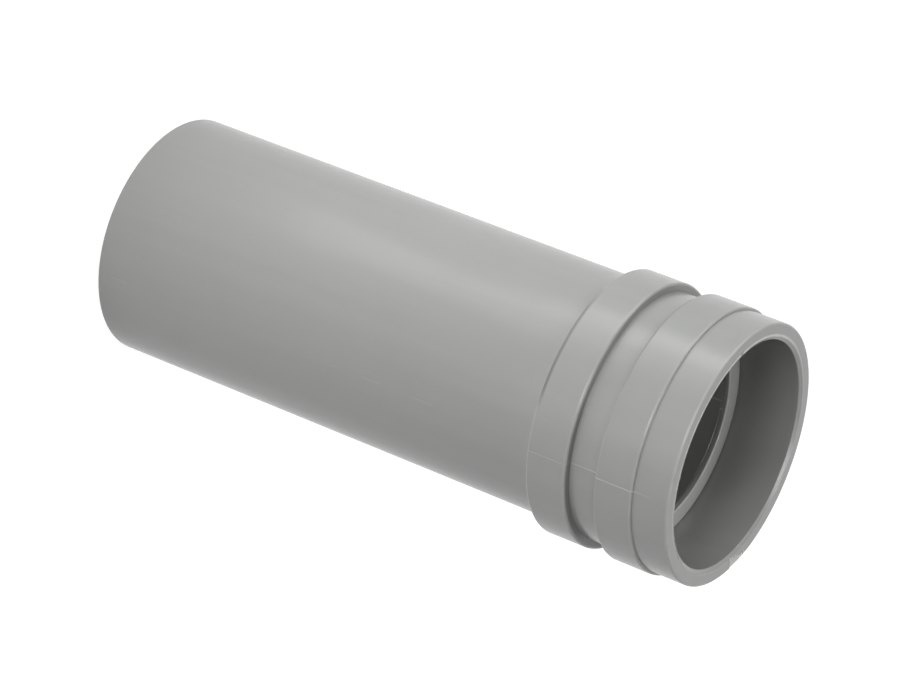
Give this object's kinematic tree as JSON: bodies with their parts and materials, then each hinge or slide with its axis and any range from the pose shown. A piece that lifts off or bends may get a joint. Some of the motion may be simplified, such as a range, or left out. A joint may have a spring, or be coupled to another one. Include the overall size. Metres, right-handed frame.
{
  "type": "toilet pan connector",
  "caption": "Straight rigid pan connector: a plain soil tube whose outside-banded collar holds a socket with a lead-in and a stop ring for the pan's outlet.",
  "frame": {"origin": "centre of the plain spigot end, on which the connector stands", "axes": "+Z along the tube's axis, from the spigot end up to the socket's mouth; X and Y are alike, because the part is round"},
  "size_m": [0.1208, 0.1208, 0.3],
  "materials": {
    "grey_moulding": "satin moulded grey plastic"
  },
  "bodies": {
    "root": {"connector_body": "grey_moulding"}
  },
  "joints": []
}
